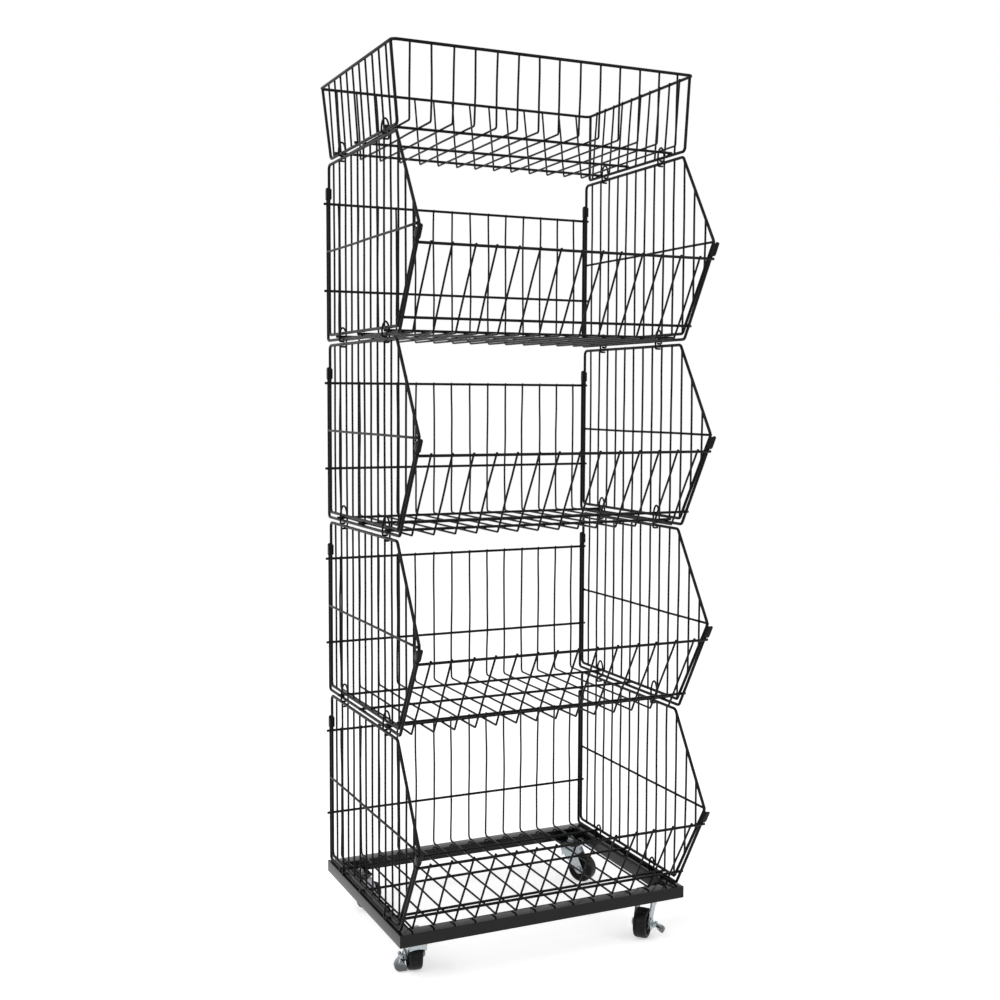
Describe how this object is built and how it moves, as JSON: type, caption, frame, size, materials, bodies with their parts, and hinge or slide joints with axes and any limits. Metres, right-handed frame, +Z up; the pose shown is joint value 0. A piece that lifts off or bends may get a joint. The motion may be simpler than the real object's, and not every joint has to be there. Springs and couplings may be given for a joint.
{
  "type": "rolling wire display rack",
  "caption": "Tall rolling display rack of stacked open-front wire baskets with a shallow wire tray on top, standing on a tube base with swivel casters.",
  "frame": {"origin": "floor level under the middle of the bounding box", "axes": "+Z up, -Y towards the baskets' open fronts, +X to the right seen from the front"},
  "size_m": [0.5246, 0.449, 1.439],
  "materials": {
    "black_coat": "satin black powder coat",
    "zinc": "bright zinc plate",
    "wheel_tread": "matt black"
  },
  "bodies": {
    "rack": {"base_front_left_gusset": "black_coat", "base_front_rail": "black_coat", "base_front_right_gusset": "black_coat", "base_left_front_staple": "black_coat", "base_left_rail": "black_coat", "base_left_rear_staple": "black_coat", "base_rear_left_gusset": "black_coat", "base_rear_rail": "black_coat", "base_rear_right_gusset": "black_coat", "base_right_front_staple": "black_coat", "base_right_rail": "black_coat", "base_right_rear_staple": "black_coat", "basket_1_cradle": "black_coat", "basket_1_left_panel": "black_coat", "basket_1_right_panel": "black_coat", "basket_2_cradle": "black_coat", "basket_2_left_front_link": "black_coat", "basket_2_left_panel": "black_coat", "basket_2_left_rear_link": "black_coat", "basket_2_right_front_link": "black_coat", "basket_2_right_panel": "black_coat", "basket_2_right_rear_link": "black_coat", "basket_3_cradle": "black_coat", "basket_3_left_front_link": "black_coat", "basket_3_left_panel": "black_coat", "basket_3_left_rear_link": "black_coat", "basket_3_right_front_link": "black_coat", "basket_3_right_panel": "black_coat", "basket_3_right_rear_link": "black_coat", "basket_4_cradle": "black_coat", "basket_4_left_front_link": "black_coat", "basket_4_left_panel": "black_coat", "basket_4_left_rear_link": "black_coat", "basket_4_right_front_link": "black_coat", "basket_4_right_panel": "black_coat", "basket_4_right_rear_link": "black_coat", "front_left_caster_stem": "zinc", "front_right_caster_stem": "zinc", "rear_left_caster_stem": "zinc", "rear_right_caster_stem": "zinc", "top_tray": "black_coat", "tray_left_front_link": "black_coat", "tray_left_rear_link": "black_coat", "tray_right_front_link": "black_coat", "tray_right_rear_link": "black_coat"},
    "front_left_caster": {"front_left_caster_axle": "zinc", "front_left_caster_fork": "zinc"},
    "front_left_wheel": {"front_left_caster_wheel": "wheel_tread"},
    "front_left_pedal": {"front_left_brake_pedal": "zinc"},
    "front_right_caster": {"front_right_caster_axle": "zinc", "front_right_caster_fork": "zinc"},
    "front_right_wheel": {"front_right_caster_wheel": "wheel_tread"},
    "front_right_pedal": {"front_right_brake_pedal": "zinc"},
    "rear_right_caster": {"rear_right_caster_axle": "zinc", "rear_right_caster_fork": "zinc"},
    "rear_right_wheel": {"rear_right_caster_wheel": "wheel_tread"},
    "rear_left_caster": {"rear_left_caster_axle": "zinc", "rear_left_caster_fork": "zinc"},
    "rear_left_wheel": {"rear_left_caster_wheel": "wheel_tread"}
  },
  "joints": [
    {"name": "front_left_swivel", "type": "hinge", "parent": "rack", "child": "front_left_caster", "pos_m": [-0.2109, -0.10178, 0], "axis": [0, 0, 1], "continuous": true},
    {"name": "front_left_roll", "type": "hinge", "parent": "front_left_caster", "child": "front_left_wheel", "pos_m": [-0.20656, -0.07716, 0.025], "axis": [-0.9848, 0.1736, 0], "continuous": true},
    {"name": "front_left_brake", "type": "hinge", "parent": "front_left_caster", "child": "front_left_pedal", "pos_m": [-0.22822, -0.07334, 0.025], "axis": [0.1736, 0.9848, 0], "range_deg": [0, 56]},
    {"name": "front_right_swivel", "type": "hinge", "parent": "rack", "child": "front_right_caster", "pos_m": [0.2109, -0.10178, 0], "axis": [0, 0, 1], "continuous": true},
    {"name": "front_right_roll", "type": "hinge", "parent": "front_right_caster", "child": "front_right_wheel", "pos_m": [0.19262, -0.11883, 0.025], "axis": [0.682, -0.7314, 0], "continuous": true},
    {"name": "front_right_brake", "type": "hinge", "parent": "front_right_caster", "child": "front_right_pedal", "pos_m": [0.20762, -0.13492, 0.025], "axis": [-0.7314, -0.682, 0], "range_deg": [-48, 8]},
    {"name": "rear_right_swivel", "type": "hinge", "parent": "rack", "child": "rear_right_caster", "pos_m": [0.2109, 0.17622, 0], "axis": [0, 0, 1], "continuous": true},
    {"name": "rear_right_roll", "type": "hinge", "parent": "rear_right_caster", "child": "rear_right_wheel", "pos_m": [0.22452, 0.15525, 0.025], "axis": [0.8387, 0.5446, 0], "continuous": true},
    {"name": "rear_left_swivel", "type": "hinge", "parent": "rack", "child": "rear_left_caster", "pos_m": [-0.2109, 0.17622, 0], "axis": [0, 0, 1], "continuous": true},
    {"name": "rear_left_roll", "type": "hinge", "parent": "rear_left_caster", "child": "rear_left_wheel", "pos_m": [-0.18993, 0.18983, 0.025], "axis": [-0.5446, 0.8387, 0], "continuous": true}
  ]
}
